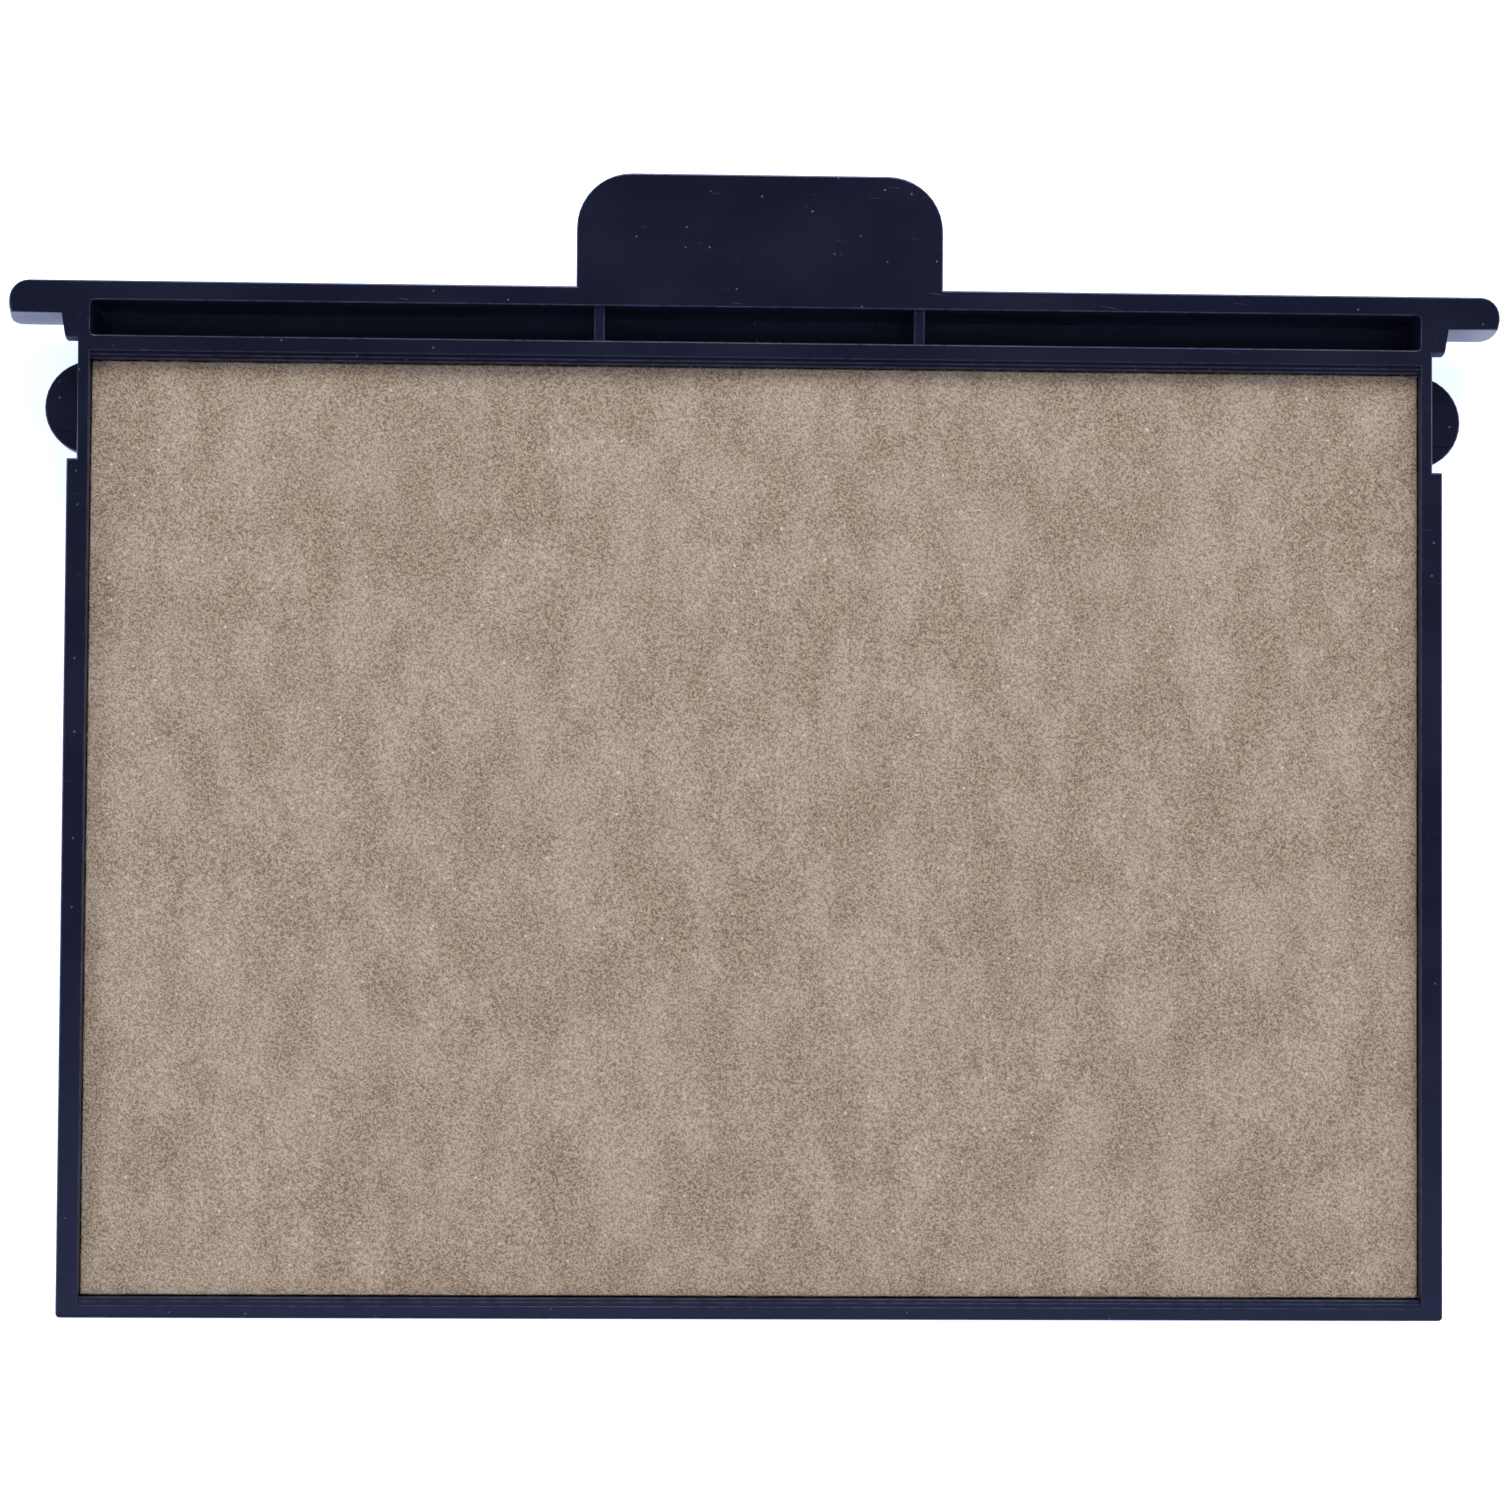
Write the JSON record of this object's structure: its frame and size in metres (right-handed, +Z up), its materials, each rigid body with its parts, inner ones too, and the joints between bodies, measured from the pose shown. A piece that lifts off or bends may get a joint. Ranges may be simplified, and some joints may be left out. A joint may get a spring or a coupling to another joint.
{
  "type": "ink pad",
  "caption": "Dry ink pad cartridge for a self-inking stamp: a flat plastic tray with side rails, stop ears, click lugs and a grip tab, holding a felt cushion just below its rim.",
  "frame": {"origin": "centre of the bounding box's footprint, on the flat underside", "axes": "+X across the cartridge from ear to ear, +Y towards the grip tab, +Z up out of the open side that shows the cushion"},
  "size_m": [0.072, 0.0546, 0.0055],
  "materials": {
    "tray_plastic": "gloss",
    "adhesive_film": "satin",
    "reservoir_felt": "matte",
    "surface_felt": "matte"
  },
  "bodies": {
    "cartridge": {"tray": "tray_plastic", "adhesive_sheet": "adhesive_film", "ink_reservoir": "reservoir_felt"},
    "pad_face": {"inking_surface": "surface_felt"}
  },
  "joints": [
    {"name": "pad_press", "type": "slide", "parent": "cartridge", "child": "pad_face", "axis": [0, 0, 1], "range_m": [-0.0006, 0], "stiffness_N_per_m": 20000, "deforming": ["ink_reservoir"]}
  ]
}
